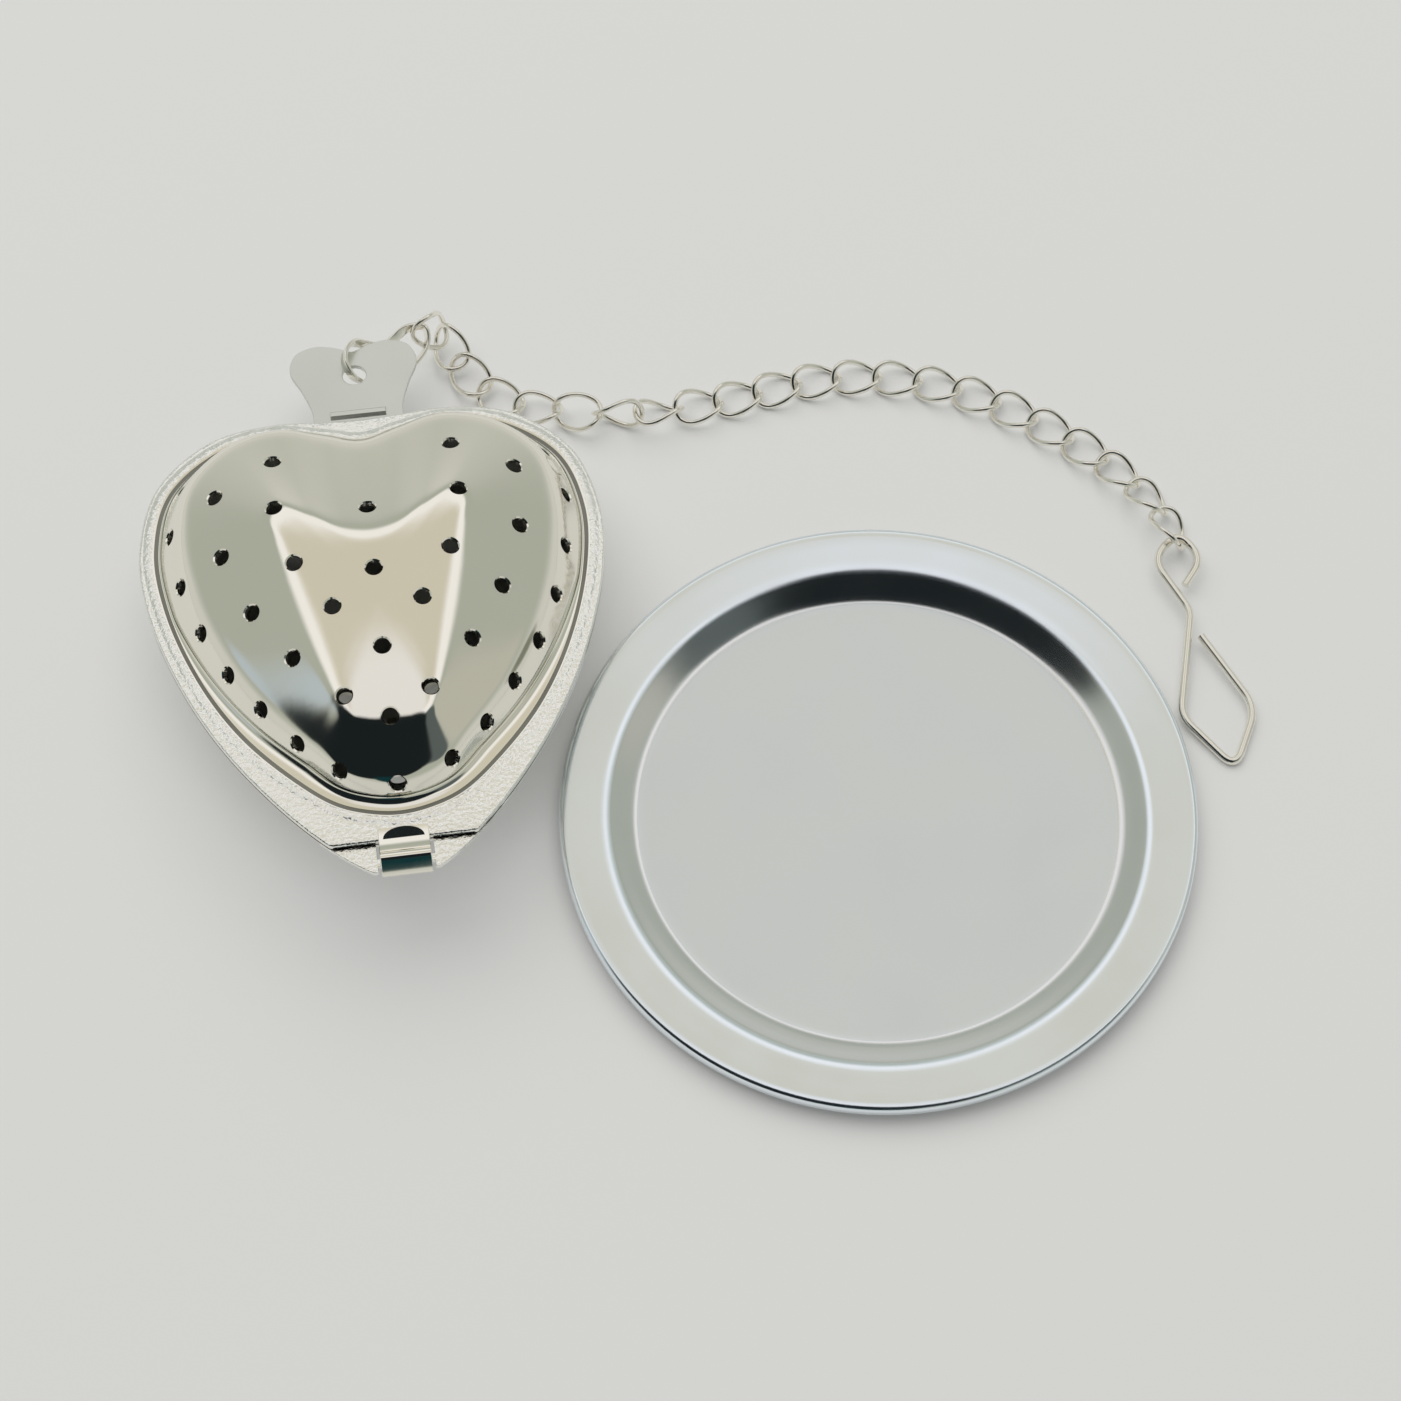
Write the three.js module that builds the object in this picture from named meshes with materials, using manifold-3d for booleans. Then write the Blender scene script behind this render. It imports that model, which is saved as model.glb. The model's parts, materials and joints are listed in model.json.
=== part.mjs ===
// Heart-shaped tea infuser on a chain with a cup hook, lying beside its round drip tray.
// Millimetres, +Z up. The table top is z = 0, the origin is under the tray's centre, +Y runs to the far side.
import * as THREE from "three";
import { mergeVertices } from "three/addons/utils/BufferGeometryUtils.js";
import Module from "manifold-3d";

const wasm = await Module();
wasm.setup();

// Sheet steel and fits
const SHEET = 0.5;
const RIM_GAP = 0.2; // between the closed rims of the two shells
const CUT_GAP = 0.3; // around what passes through a cut-out
const MERGE_TOLERANCE = 1e-4;

// Drip tray, one pressed sheet
const TRAY_RADIUS = 32;
const TRAY_FLOOR_RADIUS = 24.2; // flat floor
const TRAY_RIM_RADIUS = 27.7; // where the wall turns into the rim
const TRAY_WALL_HEIGHT = 1.6;
const TRAY_RIM_RISE = 0.5; // from the rim's bend to its outer edge
const TRAY_LIP = 0.7; // turned-down outer edge
const TRAY_WALL_CURVE = [[0.25, 0.14], [0.5, 0.52], [0.75, 0.88]]; // shares of the wall's width and height
const TRAY_STEPS = 60;

// Heart outlines from the tip to the cleft, one half, [across, along]; the hinge bar is near along = 0.
const RIM_HALF = [
  [0, -2.4], [3.3, -0.9], [7.2, 2.2], [11.9, 7.5], [16.9, 15], [20.7, 23.3], [23.1, 32],
  [23.5, 39], [21.3, 46.8], [15.5, 52.1], [9, 53.5], [4, 53.2], [0, 53],
];
const FOOT_HALF = [
  [0, 5.2], [3.2, 5.7], [6.2, 7], [10.2, 10.6], [14.6, 16], [18.3, 23], [20.9, 31.5],
  [21.5, 39], [19.7, 45.6], [14.6, 50.2], [9, 51.7], [3.8, 50.7], [0, 49.7],
];
// The dome's steep wall ends at its shoulder and its slope at the edge of its flatter top.
// The third number is the height above the rim.
const SHOULDER_HALF = [
  [0, 7.3, 2.4], [2.6, 7.7, 2.45], [5.1, 8.9, 2.6], [8, 12.1, 2.9], [11.7, 16.8, 3.2],
  [15.3, 23.1, 3.6], [18, 30.7, 3.9], [18.9, 37.6, 4.2], [17.6, 43.4, 4.7],
  [13.4, 47.4, 5.2], [8.4, 48.8, 5.3], [3.6, 47.7, 5.1], [0, 46.7, 5],
];
const TOP_HALF = [
  [0, 11.3, 5.4], [1.6, 11.5, 5.45], [3, 12.4, 5.65], [4.4, 14.6, 6.1], [5.7, 18.5, 6.8],
  [7.1, 23.2, 7.5], [8.3, 28, 8.2], [9.2, 32.2, 8.7], [9.5, 35, 8.9],
  [8.5, 36.4, 8.94], [5.6, 34.6, 8.95], [2.4, 31.9, 8.95], [0, 31.2, 8.95],
];
const TOP_MIDDLE = [0, 24.5, 8.2];
const TOP_CROWN = 0.15; // rise of the top halfway to its middle
const HEART_STEPS = 48;
const DOME_CENTRE = 30; // along the heart's axis, for the inset of the inner skin
const DOME_RADIUS = 20; // mean radius, for the same inset

// Tea holes, one half of the pattern, [across, along] in plan; the last list lies on the axis.
const HOLE_RADIUS = 0.8;
const HOLE_SIDES = 8;
const HOLE_PAIRS = [
  [5.5, 9], [9.2, 12.8], [12.5, 16.9], [15.3, 21.4], [17.6, 26.6], [19.3, 32.3], [20.2, 38.8], [18.6, 44.4],
  [4.2, 15], [8.8, 20.2], [12.4, 26.1], [14.9, 33.1], [15.1, 40.3], [9, 43.5],
  [4.4, 24.3], [7.7, 29.6], [9.2, 36.3],
];
const HOLES_ON_AXIS = [7, 12.5, 18.9, 27.9, 35.7];
const DRILL_LENGTH = 3;
const SLOPE_STEP = 0.2; // over which the dome's slope at a hole is measured

// Hinge at the tip: the lid's tongue curls round a bar left in the lower shell's tab.
const HINGE_ALONG = 0.1;
const TAB_END = -1; // blunt end of the tab
const LID_END = 2.1; // the lid's rim is cut straight here
const BAR_WIDTH = 0.8;
const TONGUE_WIDTH = 4.9;
const CURL_RADIUS = 1.35; // outside of the curl
const CURL_FROM = 62; // degrees, from the rim side over the front
const CURL_INNER_FROM = 77;
const CURL_TO = 335;
const CURL_STEPS = 12;
const TONGUE_ROOT = 3.4;
const TONGUE_RISE = 1.7; // from the bar to where the tongue leaves the rim's level
const TONGUE_RELIEF = 0.4; // slots each side of the tongue
const TONGUE_RELIEF_END = 2.7;

// Crown at the cleft: the lower shell's eared tab with the ring's hole and the catch for the lid.
const CROWN_HALF = [
  [4.75, 52], [4.75, 55], [5.6, 57.8], [6.7, 60.7], [5.9, 62.9], [3.8, 63.7], [1.7, 63.3], [0, 62.6],
];
const CROWN_HOLE_ALONG = 59.4;
const CROWN_HOLE_RADIUS = 1.25;
const CATCH_HALF_WIDTH = 2.9;
const CATCH_FRONT = 53.4;
const CATCH_BACK = 54.5;
const CATCH_RISE = 0.4;
const CATCH_SLOPE = 0.35; // length of the sloping front
const SLIT = 0.25;
const CROWN_CURVE_STEPS = 8;

// Where the infuser lies: hinge bar's place in plan, and how it leans on its round bottom.
const INFUSER_X = -45.9;
const INFUSER_Y = -10.6;
const INFUSER_YAW = 8.2;
const INFUSER_TILT = -6; // crown end down
const INFUSER_ROLL = 1.5;

// Flat-strip ring through the crown's hole, in the infuser's frame [across, along, up].
const STRIP_WIDTH = 1;
const STRIP_THICKNESS = 0.4;
const RING_STEPS = 32;
const RING_PATH = [
  [0, 59.2, -0.25], [-0.85, 60.7, 0.95], [0.1, 63.2, 0.6], [3.4, 64.4, -1.9], [6.2, 66.2, -1.5],
  [8, 66.1, -1.6], [8, 64.4, -2.5], [5.4, 61.5, -3], [2, 59.8, -2.1],
];
const RING_END = 5; // index of the path point where the chain hangs

// Curb chain
const LINK_COUNT = 22;
const LINK_LENGTH = 5.69; // outside
const LINK_WIDTH = 4.3; // outside
const LINK_WIRE = 0.56;
const LINK_GAP = 0.2; // between the wires of two links
const LINK_TWIST = 0.62; // rise of the wire at the quarters of a link
const LINK_STEPS = 16;
const LINK_SIDES = 6;
const LINK_PITCH = LINK_LENGTH - 2 * LINK_WIRE - LINK_GAP;
const BENT_LINKS = 2; // the chain turns from hanging to lying after the first of them
const BEND_SLACK = 0.7; // extra room along each of them
const LINK_ROLLS = [
  [1, 62], [2, 20], [3, 0], [5, 0], [6, 30], [8, 150], [9, 180], [19, 180], [22, 140],
]; // [link, degrees]
const CHAIN_WAY = [
  [-45.4, 56.2, 2], [-43.6, 52.2, 1.5], [-38.9, 48.3, 0.95], [-34.7, 47.2, 1.35], [-30.4, 46.4, 2.15],
  [-26.6, 46.1, 2.3], [-22.3, 46.7, 1.8], [-18.1, 47.8, 1.2], [-13.8, 48.9, 0.95], [-5.3, 51.2, 0.95],
  [3.4, 51.4, 0.95], [11.8, 49.2, 0.95], [19.5, 45, 0.95], [26.9, 39.3, 1.1], [31.7, 32.5, 1.75],
  [32.2, 27.5, 1.8],
];
const WAY_SAMPLES = 3500;

// Cup hook of round wire; corners [x, y, bend] from the eye's cut end to the free end.
// The last link lies at zero.
const HOOK_WIRE = 0.86;
const EYE_GAP = 0.45; // between the last link and the round eye
const HOOK_SIDES = 8;
const HOOK_STEPS = 56;
const HOOK_CORNERS = [
  [0.7, -5.4, 0], [2.7, -2.3, 1.9], [0.3, 0.8, 1.9], [-2.5, -2.4, 2], [1.1, -8.4, 1], [-0.6, -20.2, 1.6],
  [4.6, -26, 2], [7.1, -19.3, 2], [2, -11.2, 0],
];

const STEEL = new THREE.MeshStandardMaterial({ color: 0xc9ccca, metalness: 1, roughness: 0.2 });
const SATIN_STEEL = new THREE.MeshStandardMaterial({ color: 0xc3c9cc, metalness: 1, roughness: 0.35 });
const WIRE_STEEL = new THREE.MeshStandardMaterial({ color: 0xcfcfc8, metalness: 1, roughness: 0.25 });

const radians = THREE.MathUtils.degToRad;

// A closed geometry as a solid for the cuts and joins.
function solid(geometry) {
  const bare = new THREE.BufferGeometry();
  bare.setAttribute("position", geometry.getAttribute("position"));
  bare.setIndex(geometry.index);
  const merged = mergeVertices(bare, MERGE_TOLERANCE);
  const vertProperties = merged.getAttribute("position").array;
  const triVerts = new Uint32Array(merged.index.array);
  return new wasm.Manifold(new wasm.Mesh({ numProp: 3, vertProperties, triVerts }));
}

function geometryOf(body) {
  const mesh = body.getMesh();
  const geometry = new THREE.BufferGeometry();
  geometry.setAttribute("position", new THREE.BufferAttribute(mesh.vertProperties, 3));
  geometry.setIndex(new THREE.BufferAttribute(mesh.triVerts, 1));
  geometry.computeVertexNormals();
  return geometry;
}

function indexedGeometry(points, triangles) {
  const geometry = new THREE.BufferGeometry().setFromPoints(points);
  geometry.setIndex(triangles);
  geometry.computeVertexNormals();
  return geometry;
}

function block(low, high) {
  const size = new THREE.Vector3().subVectors(high, low);
  const centre = new THREE.Vector3().addVectors(low, high).multiplyScalar(0.5);
  return solid(new THREE.BoxGeometry(size.x, size.y, size.z).translate(centre.x, centre.y, centre.z));
}

// A profile of [along, up] points carried across the heart's axis.
function acrossPrism(profile, halfWidth) {
  const shape = new THREE.Shape(profile.map(([along, up]) => new THREE.Vector2(along, up)));
  const geometry = new THREE.ExtrudeGeometry(shape, { depth: 2 * halfWidth, bevelEnabled: false });
  const turn = new THREE.Matrix4().makeBasis(
    new THREE.Vector3(0, 1, 0),
    new THREE.Vector3(0, 0, 1),
    new THREE.Vector3(1, 0, 0),
  );
  geometry.applyMatrix4(turn).translate(-halfWidth, 0, 0);
  return solid(geometry);
}

// A closed wire or strip: a section of [outwards, sideways] offsets carried round a loop of points.
function closedSweep(points, section) {
  const count = points.length;
  const centre = new THREE.Vector3();
  points.forEach((point) => centre.addScaledVector(point, 1 / count));
  const vertices = [];
  points.forEach((point, i) => {
    const before = points[(i + count - 1) % count];
    const after = points[(i + 1) % count];
    const tangent = new THREE.Vector3().subVectors(after, before).normalize();
    const outwards = new THREE.Vector3().subVectors(point, centre);
    outwards.addScaledVector(tangent, -outwards.dot(tangent)).normalize();
    const sideways = new THREE.Vector3().crossVectors(tangent, outwards);
    section.forEach(([out, side]) => {
      vertices.push(point.clone().addScaledVector(outwards, out).addScaledVector(sideways, side));
    });
  });
  const triangles = [];
  const sides = section.length;
  for (let i = 0; i < count; i += 1) {
    const next = (i + 1) % count;
    for (let k = 0; k < sides; k += 1) {
      const turn = (k + 1) % sides;
      triangles.push(i * sides + k, i * sides + turn, next * sides + turn);
      triangles.push(i * sides + k, next * sides + turn, next * sides + k);
    }
  }
  return indexedGeometry(vertices, triangles);
}

// Tray: the sheet's upper side from the centre outwards, then its underside back to the centre.
function trayGeometry() {
  const floorTop = SHEET;
  const bendTop = floorTop + TRAY_WALL_HEIGHT;
  const edgeTop = bendTop + TRAY_RIM_RISE;
  const wall = TRAY_RIM_RADIUS - TRAY_FLOOR_RADIUS;
  const upper = [
    [0, floorTop],
    [TRAY_FLOOR_RADIUS, floorTop],
    ...TRAY_WALL_CURVE.map(([out, up]) => [TRAY_FLOOR_RADIUS + wall * out, floorTop + TRAY_WALL_HEIGHT * up]),
    [TRAY_RIM_RADIUS, bendTop],
    [TRAY_RADIUS - SHEET, edgeTop],
    [TRAY_RADIUS, edgeTop - SHEET],
  ];
  const lower = upper.slice(1, -1).map(([r, z]) => [r, z - SHEET]);
  lower[lower.length - 1] = [TRAY_RADIUS - SHEET, edgeTop - SHEET];
  const lip = [
    [TRAY_RADIUS, edgeTop - SHEET - TRAY_LIP],
    [TRAY_RADIUS - SHEET, edgeTop - SHEET - TRAY_LIP],
  ];
  const underside = [...lower.reverse(), [0, 0]];
  const profile = [...upper, ...lip, ...underside].map(([r, z]) => new THREE.Vector2(r, z));
  return new THREE.LatheGeometry(profile.reverse(), TRAY_STEPS).rotateX(Math.PI / 2);
}

// A closed heart outline through one half's points and their mirror images, starting at the tip.
function heartLoop(half) {
  const right = half.map(([across, along, height = 0]) => new THREE.Vector3(across, along, height));
  const mirrored = right.slice(1, -1).reverse().map((point) => new THREE.Vector3(-point.x, point.y, point.z));
  const loop = new THREE.CatmullRomCurve3([...right, ...mirrored], true, "centripetal");
  return Array.from({ length: HEART_STEPS }, (_, i) => loop.getPoint(i / HEART_STEPS));
}

const FAR = 60; // larger than any part of the heart
const rimLoop = heartLoop(RIM_HALF);
const shoulderLoop = heartLoop(SHOULDER_HALF);
const topLoop = heartLoop(TOP_HALF);
const topMiddle = new THREE.Vector3(...TOP_MIDDLE);
const slopeLoop = shoulderLoop.map((point, i) => point.clone().lerp(topLoop[i], 0.5));
const topRise = new THREE.Vector3(0, 0, TOP_CROWN);
const crownLoop = topLoop.map((point) => point.clone().lerp(topMiddle, 0.5).add(topRise));
const heartRings = [rimLoop, heartLoop(FOOT_HALF), shoulderLoop, slopeLoop, topLoop, crownLoop];

// Triangles between the rings of one skin and up to its middle, wound for a skin that faces up.
function skinTriangles() {
  const triangles = [];
  const last = (heartRings.length - 1) * HEART_STEPS;
  for (let j = 0; j < HEART_STEPS; j += 1) {
    const k = (j + 1) % HEART_STEPS;
    for (let row = 0; row < last; row += HEART_STEPS) {
      const [a, b, c, d] = [row + j, row + k, row + HEART_STEPS + k, row + HEART_STEPS + j];
      triangles.push([a, b, c], [a, c, d]);
    }
    triangles.push([last + j, last + k, last + HEART_STEPS]);
  }
  return triangles;
}

const bareSkin = indexedGeometry([...heartRings.flat(), topMiddle], skinTriangles().flat());
const skinProbe = new THREE.Mesh(bareSkin, new THREE.MeshBasicMaterial({ side: THREE.DoubleSide }));

// Height of the dome's skin above its foot at a place in plan.
function domeHeight(across, along) {
  const ray = new THREE.Raycaster(new THREE.Vector3(across, along, FAR), new THREE.Vector3(0, 0, -1));
  return ray.intersectObject(skinProbe)[0].point.z;
}

// One drill per tea hole, square to the dome.
function holeDrills(side, rimLevel) {
  const places = HOLES_ON_AXIS.map((along) => [0, along]);
  HOLE_PAIRS.forEach(([across, along]) => places.push([across, along], [-across, along]));
  const slope = (above, below) => (above - below) / (2 * SLOPE_STEP);
  return places.map(([across, along]) => {
    const height = domeHeight(across, along);
    const slopeAcross = slope(domeHeight(across + SLOPE_STEP, along), domeHeight(across - SLOPE_STEP, along));
    const slopeAlong = slope(domeHeight(across, along + SLOPE_STEP), domeHeight(across, along - SLOPE_STEP));
    const normal = new THREE.Vector3(-slopeAcross, -slopeAlong, side).normalize();
    const drill = new THREE.CylinderGeometry(HOLE_RADIUS, HOLE_RADIUS, DRILL_LENGTH, HOLE_SIDES);
    drill.applyQuaternion(new THREE.Quaternion().setFromUnitVectors(new THREE.Vector3(0, 1, 0), normal));
    drill.translate(across, along, side * (rimLevel + height + SHEET / 2));
    return solid(drill);
  });
}

// One domed half with its flat rim; side is 1 for the lid and -1 for the lower shell.
function shell(side, rimLevel) {
  const place = (point, scale, lift) => {
    const along = DOME_CENTRE + (point.y - DOME_CENTRE) * scale;
    return new THREE.Vector3(point.x * scale, along, side * (rimLevel + lift + point.z));
  };
  const skin = (scale, lift) => {
    const rim = rimLoop.map((point) => place(point, 1, lift));
    const dome = [...heartRings.slice(1).flat(), topMiddle];
    return [...rim, ...dome.map((point) => place(point, scale, lift))];
  };
  const outer = skin(1, SHEET);
  const inner = skin(1 - SHEET / DOME_RADIUS, 0);
  const offset = outer.length;
  const faces = skinTriangles();
  faces.push(...skinTriangles().map(([a, b, c]) => [offset + a, offset + c, offset + b]));
  for (let j = 0; j < HEART_STEPS; j += 1) {
    const k = (j + 1) % HEART_STEPS;
    faces.push([offset + j, offset + k, k], [offset + j, k, j]);
  }
  const triangles = faces.flatMap(([a, b, c]) => (side > 0 ? [a, b, c] : [a, c, b]));
  const whole = solid(indexedGeometry([...outer, ...inner], triangles));
  return whole.subtract(wasm.Manifold.union(holeDrills(side, rimLevel)));
}

const hingeUp = -SHEET / 2; // the bar's middle, in the lower shell's rim

// Lid: upper shell, cut straight at the tip, with the tongue that curls round the bar.
function lidGeometry() {
  const slotIn = TONGUE_WIDTH / 2;
  const slotOut = slotIn + TONGUE_RELIEF;
  const cuts = [block(new THREE.Vector3(-FAR, -FAR, -FAR), new THREE.Vector3(FAR, LID_END, FAR))];
  [-1, 1].forEach((hand) => {
    const low = new THREE.Vector3(Math.min(hand * slotIn, hand * slotOut), 0, -FAR);
    const high = new THREE.Vector3(Math.max(hand * slotIn, hand * slotOut), TONGUE_RELIEF_END, FAR);
    cuts.push(block(low, high));
  });
  const arc = (radius, from, to) =>
    Array.from({ length: CURL_STEPS + 1 }, (_, i) => {
      const turn = radians(from + ((to - from) * i) / CURL_STEPS);
      return [HINGE_ALONG + radius * Math.cos(turn), hingeUp + radius * Math.sin(turn)];
    });
  const inside = CURL_RADIUS - SHEET;
  const tongue = [
    [TONGUE_ROOT, RIM_GAP],
    [TONGUE_ROOT, RIM_GAP + SHEET],
    [HINGE_ALONG + TONGUE_RISE, RIM_GAP + SHEET],
    ...arc(CURL_RADIUS, CURL_FROM, CURL_TO),
    ...arc(inside, CURL_TO, CURL_INNER_FROM),
    [HINGE_ALONG + CURL_RADIUS, RIM_GAP],
  ];
  const rimmed = shell(1, RIM_GAP).subtract(wasm.Manifold.union(cuts));
  return geometryOf(rimmed.add(acrossPrism(tongue.reverse(), TONGUE_WIDTH / 2)));
}

// Lower shell with the hinge tab at the tip and the crown at the cleft.
function lowerShellGeometry() {
  const windowHalf = TONGUE_WIDTH / 2 + CUT_GAP;
  const barFront = HINGE_ALONG - BAR_WIDTH / 2;
  const barBack = HINGE_ALONG + BAR_WIDTH / 2;
  const opening = (from, to, half) =>
    block(new THREE.Vector3(-half, from, -2 * SHEET), new THREE.Vector3(half, to, 2 * SHEET));
  const tabCuts = [
    opening(-FAR, TAB_END, FAR),
    opening(TAB_END - 1, barFront, windowHalf),
    opening(barBack, LID_END, windowHalf),
  ];
  const outline = new THREE.Shape();
  const right = CROWN_HALF.map(([across, along]) => new THREE.Vector2(across, along));
  const left = CROWN_HALF.slice(0, -1).map(([across, along]) => new THREE.Vector2(-across, along));
  outline.moveTo(right[0].x, right[0].y);
  outline.lineTo(right[1].x, right[1].y);
  outline.splineThru(right.slice(2));
  outline.splineThru(left.slice(1).reverse());
  outline.lineTo(left[0].x, left[0].y);
  outline.holes.push(new THREE.Path().absarc(0, CROWN_HOLE_ALONG, CROWN_HOLE_RADIUS, 0, 2 * Math.PI, true));
  const options = { depth: SHEET, bevelEnabled: false, curveSegments: CROWN_CURVE_STEPS };
  const flat = new THREE.ExtrudeGeometry(outline, options);
  const crown = solid(flat.translate(0, 0, -SHEET));
  const slopeEnd = CATCH_FRONT + CATCH_SLOPE;
  const lip = [
    [CATCH_FRONT - SHEET, -SHEET],
    [CATCH_FRONT + SHEET / 2, -SHEET],
    [slopeEnd + SHEET / 4, CATCH_RISE - SHEET],
    [CATCH_BACK, CATCH_RISE - SHEET],
    [CATCH_BACK, CATCH_RISE],
    [slopeEnd, CATCH_RISE],
    [CATCH_FRONT, 0],
    [CATCH_FRONT - SHEET, 0],
  ];
  return geometryOf(
    shell(-1, 0)
      .subtract(wasm.Manifold.union(tabCuts))
      .add(crown)
      .subtract(opening(CATCH_FRONT, CATCH_BACK + SLIT, CATCH_HALF_WIDTH))
      .add(acrossPrism(lip, CATCH_HALF_WIDTH)),
  );
}

// The infuser's frame on the table: turned, leaning back, and set down on its lowest point.
function infuserPlace(lowerShell) {
  const lean = new THREE.Euler(radians(INFUSER_TILT), radians(INFUSER_ROLL), radians(INFUSER_YAW), "ZXY");
  const turn = new THREE.Matrix4().makeRotationFromEuler(lean);
  const turned = lowerShell.clone().applyMatrix4(turn);
  turned.computeBoundingBox();
  return turn.setPosition(INFUSER_X, INFUSER_Y, -turned.boundingBox.min.z);
}

function ringGeometry() {
  const path = new THREE.CatmullRomCurve3(RING_PATH.map((point) => new THREE.Vector3(...point)), true);
  const points = Array.from({ length: RING_STEPS }, (_, i) => path.getPoint(i / RING_STEPS));
  const [out, side] = [STRIP_THICKNESS / 2, STRIP_WIDTH / 2];
  return closedSweep(points, [[out, -side], [out, side], [-out, side], [-out, -side]]);
}

// A curb link along X: an oval whose wire rises and falls twice, so that its ends stand askew.
function linkGeometry() {
  const reach = (LINK_LENGTH - LINK_WIRE) / 2;
  const spread = (LINK_WIDTH - LINK_WIRE) / 2;
  const points = Array.from({ length: LINK_STEPS }, (_, i) => {
    const turn = (2 * Math.PI * i) / LINK_STEPS;
    const rise = -LINK_TWIST * Math.sin(2 * turn);
    return new THREE.Vector3(reach * Math.cos(turn), spread * Math.sin(turn), rise);
  });
  const section = Array.from({ length: LINK_SIDES }, (_, k) => {
    const turn = (2 * Math.PI * k) / LINK_SIDES;
    return [(LINK_WIRE / 2) * Math.cos(turn), (LINK_WIRE / 2) * Math.sin(turn)];
  });
  return closedSweep(points, section);
}

// Points where one link hangs in the next, one pitch apart along the chain's way.
function chainJoints(start) {
  const way = new THREE.CatmullRomCurve3([start, ...CHAIN_WAY.map((point) => new THREE.Vector3(...point))]);
  const fine = way.getSpacedPoints(WAY_SAMPLES);
  const joints = [start];
  fine.forEach((point) => {
    const last = joints[joints.length - 1];
    const pitch = joints.length <= BENT_LINKS ? LINK_PITCH - BEND_SLACK : LINK_PITCH;
    if (joints.length <= LINK_COUNT && point.distanceTo(last) >= pitch) joints.push(point);
  });
  return joints;
}

function linkRoll(number) {
  const after = LINK_ROLLS.findIndex(([link]) => link >= number);
  const [link, roll] = LINK_ROLLS[after];
  if (after === 0) return radians(roll);
  const [linkBefore, rollBefore] = LINK_ROLLS[after - 1];
  return radians(THREE.MathUtils.mapLinear(number, linkBefore, link, rollBefore, roll));
}

// A link between two joints, its width level before it is rolled about its length.
function linkPlace(from, to, roll) {
  const length = new THREE.Vector3().subVectors(to, from).normalize();
  const width = new THREE.Vector3(0, 0, 1).cross(length).normalize();
  const up = new THREE.Vector3().crossVectors(length, width);
  const rolled = new THREE.Matrix4().makeRotationX(roll);
  const place = new THREE.Matrix4().makeBasis(length, width, up).multiply(rolled);
  return place.setPosition(new THREE.Vector3().addVectors(from, to).multiplyScalar(0.5));
}

// Straight wire with rounded corners, level, its eye's top at the origin.
function hookGeometry() {
  const corners = HOOK_CORNERS.map(([x, y]) => new THREE.Vector3(x, y, 0));
  const path = new THREE.CurvePath();
  let from = corners[0];
  for (let i = 1; i + 1 < corners.length; i += 1) {
    const bend = HOOK_CORNERS[i][2];
    const into = corners[i].clone().lerp(corners[i - 1], bend / corners[i].distanceTo(corners[i - 1]));
    const out = corners[i].clone().lerp(corners[i + 1], bend / corners[i].distanceTo(corners[i + 1]));
    path.add(new THREE.LineCurve3(from, into));
    path.add(new THREE.QuadraticBezierCurve3(into, corners[i], out));
    from = out;
  }
  path.add(new THREE.LineCurve3(from, corners[corners.length - 1]));
  const section = new THREE.Shape().absarc(0, 0, HOOK_WIRE / 2, 0, 2 * Math.PI);
  const options = { steps: HOOK_STEPS, extrudePath: path, curveSegments: HOOK_SIDES / 2, bevelEnabled: false };
  return new THREE.ExtrudeGeometry(section, options);
}

const part = new THREE.Group();

function add(name, geometry, material, pivot) {
  const mesh = new THREE.Mesh(geometry, material);
  mesh.name = name;
  if (pivot) mesh.userData.pivot = pivot;
  part.add(mesh);
}

add("drip_tray", trayGeometry(), SATIN_STEEL);

const lowerShell = lowerShellGeometry();
const place = infuserPlace(lowerShell);
const atInfuser = (across, along, up) => new THREE.Vector3(across, along, up).applyMatrix4(place);
add("lower_shell", lowerShell.applyMatrix4(place), STEEL);
add("lid_shell", lidGeometry().applyMatrix4(place), STEEL, atInfuser(0, HINGE_ALONG, hingeUp));
add("chain_ring", ringGeometry().applyMatrix4(place), WIRE_STEEL, atInfuser(0, CROWN_HOLE_ALONG, hingeUp));

// The first link hangs over the strip's wider side, with the slack of the bend.
const ringEnd = atInfuser(...RING_PATH[RING_END]);
const leave = new THREE.Vector3(...CHAIN_WAY[0]).sub(ringEnd).normalize();
const joints = chainJoints(ringEnd.clone().addScaledVector(leave, -(STRIP_WIDTH + LINK_GAP) / 2));
for (let number = 1; number <= LINK_COUNT; number += 1) {
  const [from, to] = [joints[number - 1], joints[number]];
  const name = `chain_link_${String(number).padStart(2, "0")}`;
  add(name, linkGeometry().applyMatrix4(linkPlace(from, to, linkRoll(number))), WIRE_STEEL, from);
}

// The hook hangs in the last link by its eye and leans down to the table.
const chainEnd = joints[LINK_COUNT];
const pull = new THREE.Vector3().subVectors(chainEnd, joints[LINK_COUNT - 1]).normalize();
const eyeTop = chainEnd.clone().addScaledVector(pull, (LINK_GAP - HOOK_WIRE) / 2 - EYE_GAP);
const hookReach = Math.max(...HOOK_CORNERS.map(([, y]) => -y));
const hookLean = Math.asin((eyeTop.z - HOOK_WIRE / 2) / hookReach);
const hook = hookGeometry().rotateX(hookLean).translate(eyeTop.x, eyeTop.y, eyeTop.z);
add("cup_hook", hook, WIRE_STEEL, chainEnd);

export default part;
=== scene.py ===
"""Heart-shaped tea infuser on its chain with a cup hook, beside its round drip tray, on a pale table."""

import json
import math

import bpy
import numpy as np
from mathutils import Euler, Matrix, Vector
from mathutils.geometry import tessellate_polygon


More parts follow.
